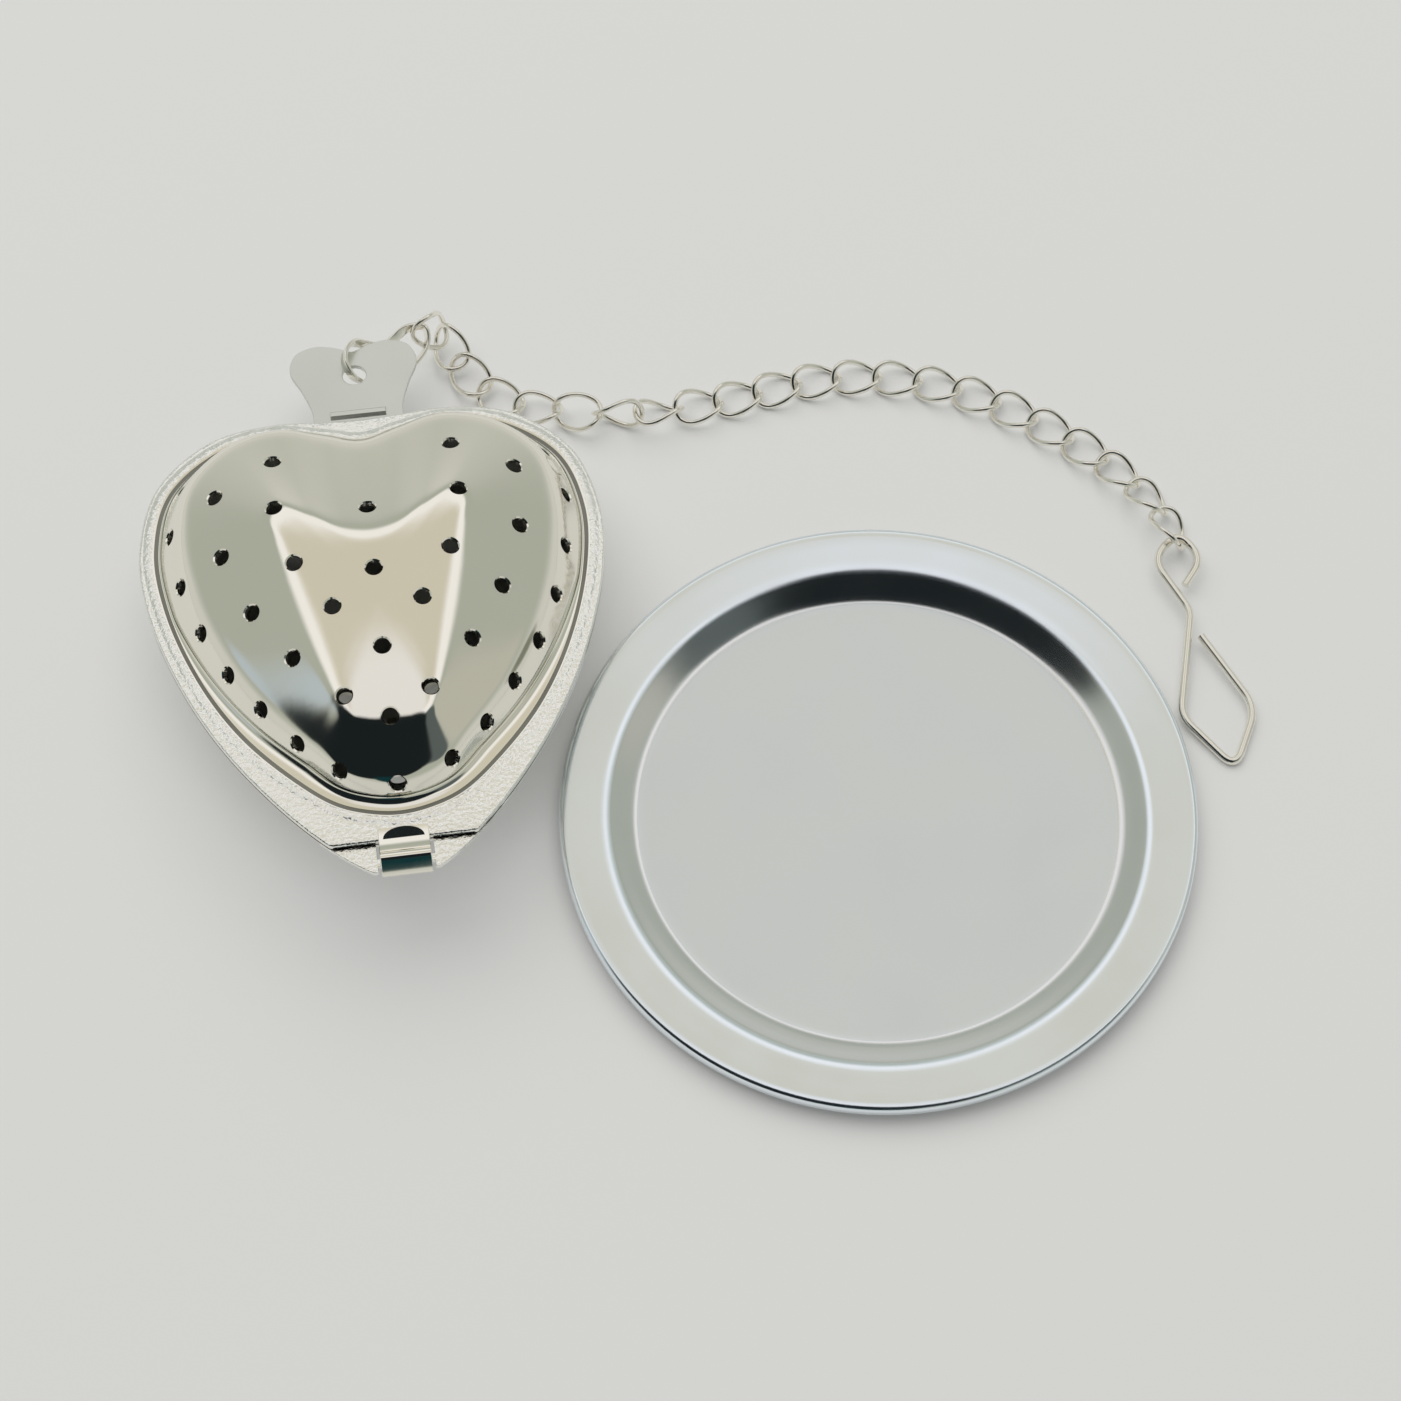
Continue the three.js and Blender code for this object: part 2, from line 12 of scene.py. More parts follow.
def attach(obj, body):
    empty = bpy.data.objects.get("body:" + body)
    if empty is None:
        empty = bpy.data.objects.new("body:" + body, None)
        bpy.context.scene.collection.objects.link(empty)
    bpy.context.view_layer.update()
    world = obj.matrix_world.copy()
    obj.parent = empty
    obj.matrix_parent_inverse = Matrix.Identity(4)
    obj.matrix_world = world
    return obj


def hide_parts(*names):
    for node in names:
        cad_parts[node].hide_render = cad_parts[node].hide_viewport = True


# Lengths are in millimetres up to the point where a mesh is made, and angles are in degrees.
MM = 0.001
TINY = 1e-12

SHEET = 0.5
RIM_GAP = 0.2  # between the rims of the two shells

# Camera
CAMERA_PLACE = (-17.81, -133.09, 294.03)
CAMERA_PITCH = 63.559  # below the horizon
CAMERA_LENS = 82.23
CAMERA_SENSOR = 36
CAMERA_NEAR = 10

# Drip tray: its upper side from the middle to the end of its turned-down lip, [radius, height]
TRAY_RADIUS = 32
TRAY_LIP_END = 1.42
TRAY_LIP_FOOT = 1.34
TRAY_LIP_ROUND = 0.1
TRAY_UPPER = [
    [0, SHEET], [12, SHEET], [20, SHEET], [23.2, SHEET], [23.8, 0.52], [24.2, 0.58], [24.6, 0.7],
    [25.05, 0.91], [25.95, 1.37], [26.5, 1.7], [26.9, 1.9], [27.25, 2.04], [27.6, 2.13], [28, 2.19],
    [28.5, 2.24], [30, 2.41], [31, 2.52], [31.5, 2.55], [31.8, 2.48], [31.97, 2.25],
    [TRAY_RADIUS, 1.9], [TRAY_RADIUS, TRAY_LIP_END],
]
TRAY_LIP_POINTS = 3  # at the end of that list, which have no lower side of their own
TRAY_STEPS = 180
TRAY_FLOOR_RADIUS = 24
TRAY_WALL_RADIUS = 26.8

# Heart outlines from the tip to the cleft, one half, [across, along]
RIM_HALF = [
    [0, -2.4], [3.3, -0.9], [7.2, 2.2], [11.9, 7.5], [16.9, 15], [20.7, 23.3], [23.1, 32],
    [23.5, 39], [21.3, 46.8], [15.5, 52.1], [9, 53.5], [4, 53.2], [0, 53],
]
FOOT_HALF = [
    [0, 5.2], [3.2, 5.7], [6.2, 7], [10.2, 10.6], [14.6, 16], [18.3, 23], [20.9, 31.5],
    [21.5, 39], [19.7, 45.6], [14.6, 50.2], [9, 51.7], [3.8, 50.7], [0, 49.7],
]
# The dome's shoulder, where its steep wall ends, and the edge of its flatter top, [across, along, height]
SHOULDER_HALF = [
    [0, 7.3, 2.4], [2.6, 7.7, 2.45], [5.1, 8.9, 2.6], [8, 12.1, 2.9], [11.7, 16.8, 3.2],
    [15.3, 23.1, 3.6], [18, 30.7, 3.9], [18.9, 37.6, 4.2], [17.6, 43.4, 4.7], [13.4, 47.4, 5.2],
    [8.4, 48.8, 5.3], [3.6, 47.7, 5.1], [0, 46.7, 5],
]
TOP_HALF = [
    [0, 12.1, 5.6], [2, 12.2, 5.62], [3.8, 13, 5.8], [5, 15.2, 6.2], [6, 18.7, 6.8],
    [7.1, 23.2, 7.5], [8.3, 28, 8.2], [9.2, 32.2, 8.7], [9.5, 35, 8.9], [8.5, 36.4, 8.94],
    [5.6, 34.9, 8.95], [2.4, 32.8, 8.95], [0, 32.3, 8.95],
]
TOP_MIDDLE = [0, 24.5, 8.2]
TOP_CROWN = 0.2
HEART_STEPS = 420
TOP_RINGS = 18
SLOPE_RINGS = 30
WALL_RINGS = 9
SWEEP_RINGS = 8
# Share of the way from the shoulder to the foot that the wall takes, steeper at the tip, [along, share]
WALL_SHARE = [[10, 30], [0.4, 0.85]]
WALL_END = 0.75  # height at which the wall begins to sweep out to the foot
ROUNDING = 14  # how often the profile's corners are rounded off
ROUND_WEIGHT = 0.25
ROUND_SHARE = [[28, 34], [1, 0.3]]  # the far edge of the top is rounded less than its sides, [along, share]
CREASE = 0.45  # width of the crease at the dome's foot, whose faces get a dark steel as painted shade
BEAD_WIDTH = 1.1
BEAD_RISE = 0.1
BEAD_RINGS = 7
BEAD_MARGIN = 0.05  # least width of plain rim beside the bead
RIM_DROP = 0.06
RIM_SHARES = (0.06, 0.5, 1)  # of the way over the plain rim
EDGE_ROUND = 0.25
EDGE_TURNS = (30, 60, 90)

# Tea holes, one half of the pattern
HOLE_RADIUS = 0.8
HOLE_BEVEL = 0.13
HOLE_STEPS = 28
HOLE_MARGIN = 0.12  # between a hole's edge and the mesh round it
DRILL_LENGTH = 2
NEAR_RADIUS = 3 * HOLE_RADIUS  # within which the skin is looked at for a hole's edge
NEAR_POINTS = 6
NEAR_SOFTNESS = 0.001
HOLE_PAIRS = [
    [5.5, 9], [9.2, 12.8], [12.5, 16.9], [15.3, 21.4], [17.6, 26.6], [19.3, 32.3], [20.2, 38.8],
    [18.6, 44.4], [4.2, 15], [8.8, 20.2], [12.4, 26.1], [14.9, 33.1], [15.1, 40.3], [9, 43.5],
    [4.4, 24.3], [7.7, 29.6], [9.2, 36.3],
]
HOLES_ON_AXIS = [7, 12.5, 19.5, 27.9, 35.7]

# Hinge at the tip
HINGE_ALONG = 0.1
HINGE_UP = -SHEET / 2
TAB_END = -1
TAB_LAP = 1  # how far the tab reaches under the lid
TAB_STEPS = 4 * HEART_STEPS
LID_END = 2.1
BAR_WIDTH = 0.8
TONGUE_WIDTH = 4.9
TONGUE_ROOT = 3.4
TONGUE_RISE = 1.7
CUT_GAP = 0.3
CURL_RADIUS = 1.35
CURL_FROM = 62
CURL_TO = 335
CURL_LAP = 15  # the curl's inside ends this much before its outside
CURL_STEPS = 60
CURL_FLAT = 1.02  # distance of the curl's flattened front from the bar's middle
CURL_FRONT = 142  # the way that front faces, from the far side
CURL_CORNER = 14  # the higher, the sharper the corners of that front
BOSS_ALONG = 2.2  # straight near edge of the half-moon raised at the tongue's root
BOSS_WIDTH = 4
BOSS_LENGTH = 1
BOSS_RISE = 0.4
BOSS_STEPS = 40

# Crown at the cleft
CROWN_HALF = [
    [4.75, 52], [4.75, 55], [5.6, 57.8], [6.7, 60.7], [5.9, 62.9], [3.8, 63.7], [1.7, 63.3], [0, 62.6],
]
CROWN_ROOT = 2  # the outline runs this far in under the shell's rim before it is cut off
CROWN_STEPS = 240
CROWN_HOLE_ALONG = 59.4
CROWN_HOLE_RADIUS = 1.25
CROWN_HOLE_STEPS = 40
CATCH_HALF_WIDTH = 2.9
CATCH_FRONT = 53.4
CATCH_BACK = 54.5
CATCH_RISE = 0.3
CATCH_SLOPE = 0.6
SLIT = 0.25
EDGE_BEVEL = 0.06
BEVEL_STEPS = 2

# How the infuser leans
INFUSER_YAW = 8.2
INFUSER_TILT = -6
INFUSER_ROLL = 1.5

# Strip ring, in the infuser's frame
STRIP_WIDTH = 1
STRIP_THICKNESS = 0.4
STRIP_ROUND = 0.12
STRIP_TURNS = (0, 30, 60, 90)
RING_PATH = [
    [0, 59.2, -0.25], [-0.85, 60.7, 0.95], [0.1, 63.2, 0.6], [3.4, 64.4, -1.9], [6.2, 66.2, -1.5],
    [8, 66.1, -1.6], [8, 64.4, -2.5], [5.4, 61.5, -3], [2, 59.8, -2.1],
]
RING_STEPS = 120

# Curb chain
LINK_COUNT = 22
LINK_LENGTH = 5.69
LINK_WIDTH = 4.3
LINK_WIRE = 0.56
LINK_GAP = 0.2
LINK_TWIST = 0.62
LINK_STEPS = 48
LINK_SIDES = 12
# Turn of a link about its length, [link, angle], with even steps between those given
LINK_ROLLS = [
    [1, 56], [2, 34], [3, 20], [5, 0], [6, 30], [8, 150], [9, 180], [19, 180], [21, 152], [22, 143],
]

# Cup hook, corners [x, y, bend]
HOOK_WIRE = 0.86
HOOK_SIDES = 16
EYE_GAP = 0.45
HOOK_CORNERS = [
    [0.7, -5.4, 0], [2.7, -2.3, 1.9], [0.3, 0.8, 1.9], [-2.5, -2.4, 2], [1.1, -8.4, 1],
    [-0.6, -20.2, 1.6], [4.6, -26, 2], [7.1, -19.3, 2], [2, -11.2, 0],
]
BEND_STEPS = 12

# Edges that turn by more than this stay sharp
TRAY_SHARP = 50
PLATE_SHARP = 35
BOSS_SHARP = 30
CATCH_SHARP = 20
HOOK_SHARP = 50

# Steels: two colours, range of roughness, scale of the grain, and strength and depth of its relief
STEELS = {
    "polished_steel": [(0.89, 0.86, 0.77), (0.93, 0.9, 0.81), (0.05, 0.11), 900, (0.05, 0.04)],
    "rim_steel": [(0.9, 0.9, 0.86), (0.97, 0.97, 0.93), (0.12, 0.22), 2300, (0.8, 0.12)],
    "sheet_steel": [(0.72, 0.74, 0.7), (0.77, 0.79, 0.74), (0.3, 0.4), 2600, (0.15, 0.03)],
    # the tray rim's blue tint is a painted reflection of cool light
    "tray_rim_steel_painted_cool_reflection": [(0.87, 0.93, 0.99), (0.9, 0.96, 1.0), (0.16, 0.24), 1500, (0.08, 0.03)],
    "tray_floor_steel": [(0.81, 0.85, 0.87), (0.85, 0.89, 0.91), (0.34, 0.44), 2600, (0.12, 0.03)],
    "tray_wall_steel": [(0.79, 0.8, 0.79), (0.84, 0.85, 0.84), (0.14, 0.2), 1500, (0.06, 0.03)],
    "inner_steel": [(0.52, 0.52, 0.49), (0.6, 0.6, 0.57), (0.3, 0.42), 1500, (0.2, 0.04)],
    # painted shade: a dark steel laid in the crease at the dome's foot
    "crease_painted_shade_steel": [(0.12, 0.12, 0.1), (0.32, 0.32, 0.28), (0.2, 0.3), 1500, (0.2, 0.04)],
    "wire_steel": [(0.9, 0.87, 0.79), (0.95, 0.92, 0.85), (0.14, 0.24), 1600, (0.12, 0.04)],
}
SHELL_METALS = ["polished_steel", "rim_steel", "inner_steel", "crease_painted_shade_steel"]
MOTTLE_SCALE = 90
MOTTLE_DETAIL = 4
MOTTLE_RANGE = (0.3, 0.7)  # values of the slow noise between which the roughness changes
GRAIN_DETAIL = 3

# Table
TABLE_SIZE = 3000
TABLE_COLOUR = (0.7, 0.7, 0.69)
TABLE_MOTTLE = 0.985  # of that colour in the table's darker clouds
TABLE_CLOUD_SCALE = 6
TABLE_CLOUD_DETAIL = 3
TABLE_GLOW = (0.665, 0.665, 0.655)
GLOW_SHARE = 0.58  # of the table's own colour in what the camera sees, the rest is lit
SHADE_REACH = 12  # a thing closer to the table than this shades it
SHADE_SAMPLES = 6

# Lamp, with its power in watts
LAMP_PLACE = (-250, 550, 900)
LAMP_SIZE = (1500, 1200)
LAMP_POWER = 11.2
LAMP_COLOUR = (1, 0.985, 0.95)

# The room's colour, and round patches over it: azimuth from the far side, elevation, inner and outer radius
ROOM_COLOUR = (0.42, 0.445, 0.4)
ROOM_PATCHES = [
    [(0.92, 0.91, 0.92), 0, 70, 30, 40],  # white overhead on the far side
    [(0.63, 0.6, 0.51), 0, 72, 17, 25],  # cream in its middle
    [(0.82, 0.81, 0.82), 0, 85, 9, 18],  # white straight above
    [(0.62, 0.63, 0.6), 0, -90, 97, 117],  # pale below and round the horizon
    [(0.48, 0.55, 0.61), -92, 34, 3, 10],  # cool on the left
    [(0.5, 0.5, 0.45), 88, 38, 8, 16],  # warm on the right
    [(0.2, 0.21, 0.17), 84, 9, 3, 8],  # darker low on the right
    [(0.1, 0.12, 0.12), 118, 52, 13, 19],  # dark on the near side, above the viewer
    [(0.01, 0.014, 0.016), -140, 48, 29, 34],
    [(0.01, 0.014, 0.016), 180, 60, 24, 29],
    [(0.006, 0.034, 0.04), 180, 28, 9, 14],  # teal below that
]

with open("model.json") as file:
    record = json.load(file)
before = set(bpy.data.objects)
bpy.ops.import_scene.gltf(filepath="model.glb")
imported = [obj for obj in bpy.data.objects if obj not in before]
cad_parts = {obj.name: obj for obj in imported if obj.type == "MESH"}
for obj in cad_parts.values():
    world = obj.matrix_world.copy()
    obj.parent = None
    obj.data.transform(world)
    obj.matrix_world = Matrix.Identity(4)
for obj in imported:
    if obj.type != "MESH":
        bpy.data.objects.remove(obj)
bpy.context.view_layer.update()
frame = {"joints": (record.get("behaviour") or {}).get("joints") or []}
joint_at = {j["name"]: np.array(j["pos_m"]) / MM for j in frame["joints"] if "pos_m" in j}


def nodes_of(owner):
    owner.use_nodes = True
    tree = owner.node_tree
    tree.nodes.clear()
    return tree


def node(tree, kind, inputs=None, **settings):
    """A shader node; inputs are values or the sockets they come from."""
    made = tree.nodes.new(kind)
    for name, value in settings.items():
        setattr(made, name, value)
    for name, value in (inputs or {}).items():
        if isinstance(value, bpy.types.NodeSocket):
            tree.links.new(value, made.inputs[name])
        else:
            made.inputs[name].default_value = value
    return made


def blended(tree, share, first, second):
    """A colour between two others, by a share that comes from a socket."""
    inputs = {"Factor": share, "A": first, "B": second}
    return node(tree, "ShaderNodeMix", inputs, data_type="RGBA").outputs["Result"]


def calculated(tree, operation, first, second):
    return node(tree, "ShaderNodeMath", {0: first, 1: second}, operation=operation).outputs["Value"]


def noise(tree, place, scale, detail):
    inputs = {"Vector": place, "Scale": scale, "Detail": detail}
    return node(tree, "ShaderNodeTexNoise", inputs).outputs["Fac"]


def steel(name, dark, light, roughness, grain, relief):
    """Bare steel: colour and roughness vary with a slow noise, and a fine noise gives it its grain."""
    material = bpy.data.materials.new(name)
    tree = nodes_of(material)
    place = node(tree, "ShaderNodeTexCoord").outputs["Object"]
    slow = noise(tree, place, MOTTLE_SCALE, MOTTLE_DETAIL)
    fine = noise(tree, place, grain, GRAIN_DETAIL)
    rough = node(
        tree,
        "ShaderNodeMapRange",
        {
            "Value": slow,
            "From Min": MOTTLE_RANGE[0],
            "From Max": MOTTLE_RANGE[1],
            "To Min": roughness[0],
            "To Max": roughness[1],
        },
    )
    bump = node(tree, "ShaderNodeBump", {"Height": fine, "Strength": relief[0], "Distance": relief[1] * MM})
    shader = node(
        tree,
        "ShaderNodeBsdfPrincipled",
        {
            "Base Color": blended(tree, slow, (*dark, 1), (*light, 1)),
            "Metallic": 1.0,
            "Roughness": rough.outputs["Result"],
            "Normal": bump.outputs["Normal"],
        },
    )
    node(tree, "ShaderNodeOutputMaterial", {"Surface": shader.outputs["BSDF"]})
    return material


steels = {name: steel(name, *values) for name, values in STEELS.items()}


def unit(vectors):
    return vectors / np.maximum(np.linalg.norm(vectors, axis=-1, keepdims=True), TINY)


def shares(count):
    """Even steps up to the whole."""
    return np.arange(1, count + 1) / count


def root_distance(first, second):
    return np.linalg.norm(second - first, axis=1)[:, None] ** 0.5


def catmull(points, count):
    """Evenly spaced parameters on a closed centripetal Catmull-Rom curve through the points."""
    points = np.array(points, float)
    total = len(points)
    place = np.arange(count) * total / count
    first = np.floor(place).astype(int)
    weight = (place - first)[:, None]
    p0, p1, p2, p3 = (points[(first + k) % total] for k in (-1, 0, 1, 2))
    d0 = root_distance(p0, p1)
    d1 = root_distance(p1, p2)
    d2 = root_distance(p2, p3)
    m1 = ((p1 - p0) / d0 - (p2 - p0) / (d0 + d1) + (p2 - p1) / d1) * d1
    m2 = ((p2 - p1) / d1 - (p3 - p1) / (d1 + d2) + (p3 - p2) / d2) * d1
    w2 = weight**2
    w3 = weight**3
    return (2 * w3 - 3 * w2 + 1) * p1 + (w3 - 2 * w2 + weight) * m1 + (3 * w2 - 2 * w3) * p2 + (w3 - w2) * m2


def mirrored(half):
    """A closed outline from one half, starting at the tip."""
    left = [[-point[0], *point[1:]] for point in half[-2:0:-1]]
    return [*half, *left]


def circle(radius, sides):
    turn = np.arange(sides) * 2 * math.pi / sides
    return np.stack([radius * np.cos(turn), radius * np.sin(turn)], 1)


def at_height(outline, height):
    """The points of a flat outline, all at one height."""
    return np.column_stack([outline, np.full(len(outline), height)])


tilt = Euler((math.radians(INFUSER_TILT), 0, 0)).to_matrix()
yaw = Euler((0, 0, math.radians(INFUSER_YAW))).to_matrix()
roll = Euler((0, math.radians(INFUSER_ROLL), 0)).to_matrix()
infuser_turn = np.array(yaw @ tilt @ roll)
infuser_origin = joint_at["lid_open"] - infuser_turn @ np.array([0, HINGE_ALONG, HINGE_UP])


def at_infuser(points):
    """World places of points [across, along, up] in the infuser's frame."""
    return np.asarray(points, float) @ infuser_turn.T + infuser_origin


def piece(name, vertices, faces, body, metals, replaced=None, finish=None, sharp=None):
    """A mesh object of the part, from places in millimetres, riding on its body."""
    mesh = bpy.data.meshes.new(name)
    mesh.from_pydata((np.asarray(vertices) * MM).tolist(), [], faces)
    for metal in metals:
        mesh.materials.append(steels[metal])
    if finish is not None:
        mesh.polygons.foreach_set("material_index", np.asarray(finish, np.int32))
    mesh.update()
    mesh.shade_smooth()
    if sharp:
        mesh.set_sharp_from_angle(angle=math.radians(sharp))
    made = bpy.data.objects.new(name, mesh)
    bpy.context.scene.collection.objects.link(made)
    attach(made, body)
    if replaced:
        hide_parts(replaced)
    return made


def grid_faces(rows, columns, close_rows=False, close_columns=True):
    """Quads between rows of a grid of vertices, optionally joined end to end."""
    faces = []
    for r in range(rows if close_rows else rows - 1):
        below = ((r + 1) % rows) * columns
        for c in range(columns if close_columns else columns - 1):
            d = (c + 1) % columns
            faces.append([r * columns + c, r * columns + d, below + d, below + c])
    return faces


def capped(rows, columns):
    """Quads between rows of closed rings of vertices, with a face on the first ring and one on the last."""
    last = (rows - 1) * columns
    ends = [list(range(columns))[::-1], list(range(last, last + columns))]
    return grid_faces(rows, columns) + ends


def swept(points, section, closed):
    """A section of [outwards, sideways] offsets carried along points.

    On a closed run, outwards is away from its middle. On an open run it is level.
    """
    points = np.asarray(points, float)
    section = np.asarray(section, float)
    if closed:
        tangents = unit(np.roll(points, -1, 0) - np.roll(points, 1, 0))
        outwards = points - points.mean(0)
        outwards = unit(outwards - tangents * np.sum(outwards * tangents, 1, keepdims=True))
        faces = grid_faces(len(points), len(section), close_rows=True)
    else:
        tangents = unit(np.gradient(points, axis=0))
        outwards = unit(np.cross(tangents, [0, 0, 1]))
        faces = capped(len(points), len(section))
    sideways = np.cross(tangents, outwards)
    offsets = section[None, :, :1] * outwards[:, None] + section[None, :, 1:] * sideways[:, None]
    return (points[:, None] + offsets).reshape(-1, 3), [face[::-1] for face in faces]


def make_tray():
    upper = np.array(TRAY_UPPER, float)
    tangent = unit(np.gradient(upper, axis=0))
    lower = (upper + SHEET * np.stack([tangent[:, 1], -tangent[:, 0]], 1))[:-TRAY_LIP_POINTS]
    lip_inside = TRAY_RADIUS - SHEET
    lip = [
        [TRAY_RADIUS - TRAY_LIP_ROUND, TRAY_LIP_FOOT],
        [lip_inside + TRAY_LIP_ROUND, TRAY_LIP_FOOT],
        [lip_inside, TRAY_LIP_END],
    ]
    profile = [*upper[1:], *lip, *lower[:0:-1]]
    rings = [at_height(circle(radius, TRAY_STEPS), height) for radius, height in profile]
    vertices = np.vstack([*rings, [[0, 0, SHEET], [0, 0, 0]]])
    faces = [face[::-1] for face in grid_faces(len(profile), TRAY_STEPS)]
    top = len(profile) * TRAY_STEPS
    bottom = top + 1
    last = top - TRAY_STEPS
    for k in range(TRAY_STEPS):
        after = (k + 1) % TRAY_STEPS
        faces.append([top, k, after])
        faces.append([bottom, last + after, last + k])
    reach = [np.hypot(*vertices[face, :2].mean(0)) for face in faces]
    finish = np.digitize(reach, [TRAY_FLOOR_RADIUS, TRAY_WALL_RADIUS])
    # the rim steel's blue tint is a painted reflection
    metals = ["tray_floor_steel", "tray_wall_steel", "tray_rim_steel_painted_cool_reflection"]
    piece("tray_pressing", vertices, faces, "tray", metals, "drip_tray", finish, TRAY_SHARP)


def heart(half):
    return catmull(mirrored(half), HEART_STEPS)


def sheet_terms(points):
    """Terms of the smooth sheet that is fitted to the edge of the dome's flatter top."""
    across, along = points[:, 0], points[:, 1]
    return np.column_stack([np.ones(len(points)), along, along**2, across**2, across**2 * along])


def dome_rings(top, shoulder, base):
    """Rings from the dome's middle over its top, slope and wall, with the corners between them rounded."""
    middle = np.array(TOP_MIDDLE, float)
    fit = np.linalg.lstsq(sheet_terms(top), top[:, 2], rcond=None)[0]
    miss = top[:, 2] - sheet_terms(top) @ fit
    rings = []
    for share in shares(TOP_RINGS):
        ring = middle + (top - middle) * share
        ring[:, 2] = sheet_terms(ring) @ fit + miss * share**3 + TOP_CROWN * (1 - share**2)
        rings.append(ring)
    rings += [top + (shoulder - top) * share for share in shares(SLOPE_RINGS)]
    rings += [shoulder + (base - shoulder) * share for share in shares(WALL_RINGS)]
    rings = np.array(rings)
    amount = ROUND_WEIGHT * np.interp(top[:, 1], *ROUND_SHARE)[None, :, None]
    for _ in range(ROUNDING):
        smoother = rings.copy()
        smoother[1:-1] += amount * (rings[:-2] - 2 * rings[1:-1] + rings[2:])
        rings = smoother
    return rings


def flange_rings(base, foot, rim):
    """Rings down the wall's sweep to the foot, then over the crease, the bead and the rim to its edge."""
    outwards = unit(rim - foot)
    width = np.linalg.norm(rim - foot, axis=1)
    rings = []
    for share in shares(SWEEP_RINGS):
        turn = math.radians(90 * share)
        place = base[:, :2] + (foot - base[:, :2]) * (1 - math.cos(turn))
        rings.append(at_height(place, WALL_END * (1 - math.sin(turn))))
    bead = np.minimum(BEAD_WIDTH, width - CREASE - EDGE_ROUND - BEAD_MARGIN)
    plain = CREASE + bead
    reaches = [[np.full(HEART_STEPS, CREASE), 0]]
    for share in shares(BEAD_RINGS):
        reaches.append([CREASE + bead * share, BEAD_RISE * math.sin(math.pi * share) - RIM_DROP * share])
    for share in RIM_SHARES:
        reaches.append([plain + (width - EDGE_ROUND - plain) * share, -RIM_DROP])
    for turn in EDGE_TURNS:
        out = width - EDGE_ROUND * (1 - math.sin(math.radians(turn)))
        reaches.append([out, -RIM_DROP - EDGE_ROUND * (1 - math.cos(math.radians(turn)))])
    rings += [at_height(foot + outwards * out[:, None], height) for out, height in reaches]
    return np.array(rings)


def shell_rings():
    """Rings of points [across, along, up] from the dome's middle to the rim's edge, on its outer skin."""
    rim, foot, shoulder, top = (heart(half) for half in (RIM_HALF, FOOT_HALF, SHOULDER_HALF, TOP_HALF))
    cut = rim[:, 1] < LID_END
    share = (foot[cut, 1] - LID_END) / (foot[cut, 1] - rim[cut, 1])
    rim[cut] = foot[cut] + (rim[cut] - foot[cut]) * share[:, None]
    wall_share = np.interp(foot[:, 1], *WALL_SHARE)[:, None]
    base = shoulder + (at_height(foot, 0) - shoulder) * wall_share
    base[:, 2] = WALL_END
    return np.concatenate([dome_rings(top, shoulder, base), flange_rings(base, foot, rim)])


def fitted(points, normals, spots, axis):
    """Spots moved along an axis onto the surface of the nearest points, and the surface's normals there."""
    distance = np.linalg.norm(points[None] - spots[:, None], axis=2)
    nearest = np.argsort(distance, axis=1)[:, :NEAR_POINTS]
    weight = 1 / (np.take_along_axis(distance, nearest, 1) + NEAR_SOFTNESS) ** 2
    weight /= weight.sum(1, keepdims=True)
    slope = normals[nearest] @ axis
    rise = np.sum((points[nearest] - spots[:, None]) * normals[nearest], 2) / slope
    moved = spots + np.sum(rise * weight, 1)[:, None] * axis
    return moved, unit(np.sum(normals[nearest] * weight[..., None], 1))


def border_loop(faces):
    """The vertices round a patch of faces, in order."""
    edges = {(a, b) for face in faces.tolist() for a, b in zip(face, [*face[1:], face[0]])}
    after = {a: b for a, b in edges if (b, a) not in edges}
    loop = [min(after)]
    while after[loop[-1]] != loop[0]:
        loop.append(after[loop[-1]])
    return np.array(loop)


def between_loops(outside, inside):
    """Triangles that fill the plane between two loops, as numbers of their points, wound to face up."""
    flat = np.vstack([outside, inside])
    triangles = []
    for a, b, c in tessellate_polygon([[Vector(p) for p in loop] for loop in (outside, inside)]):
        (x1, y1), (x2, y2) = flat[b] - flat[a], flat[c] - flat[a]
        triangles.append([a, b, c] if x1 * y2 > x2 * y1 else [a, c, b])
    return np.array(triangles)


def corner_normals(normals):
    """Normals of the corners of a ring of quads, from the normals along the ring."""
    after = np.roll(normals, -1, 0)
    return np.stack([normals, after, after, normals], 1)


def tea_hole(place, outer, normals, quads):
    """A round hole square to the skin.

    Gives the quads that it takes away, the loop round them, the triangles between that loop and the
    hole's mouth, the rows of its mouth, throat and back with their normals, and its wall's corner normals.
    """
    nearest = np.argmin(np.linalg.norm(outer[:, :2] - place, axis=1))
    axis = normals[nearest]
    centre = outer[nearest] + [*(np.array(place) - outer[nearest, :2]), 0]
    offset = outer - centre
    height = offset @ axis
    radial = np.linalg.norm(offset - height[:, None] * axis, axis=1)
    level = np.abs(height) < DRILL_LENGTH
    hit = (level & (radial < HOLE_RADIUS + HOLE_BEVEL + HOLE_MARGIN))[quads].any(1)
    border = border_loop(quads[hit])
    first = unit(np.cross(axis, [1, 0, 0]))
    plane = np.stack([first, np.cross(axis, first)], 1)
    spokes = circle(1, HOLE_STEPS) @ plane.T
    near = np.flatnonzero(level & (radial < NEAR_RADIUS))
    edge = centre + spokes * (HOLE_RADIUS + HOLE_BEVEL)
    mouth, mouth_normals = fitted(outer[near], normals[near], edge, axis)
    throat = mouth - spokes * HOLE_BEVEL - axis * HOLE_BEVEL
    back = mouth - spokes * HOLE_BEVEL - axis * SHEET
    triangles = between_loops(offset[border] @ plane, (mouth - centre) @ plane)
    rows = [mouth, throat, back]
    row_normals = [mouth_normals, -spokes, -mouth_normals]
    wall = [corner_normals(unit(axis - spokes)), corner_normals(-spokes)]
    return hit, border, triangles, rows, row_normals, wall


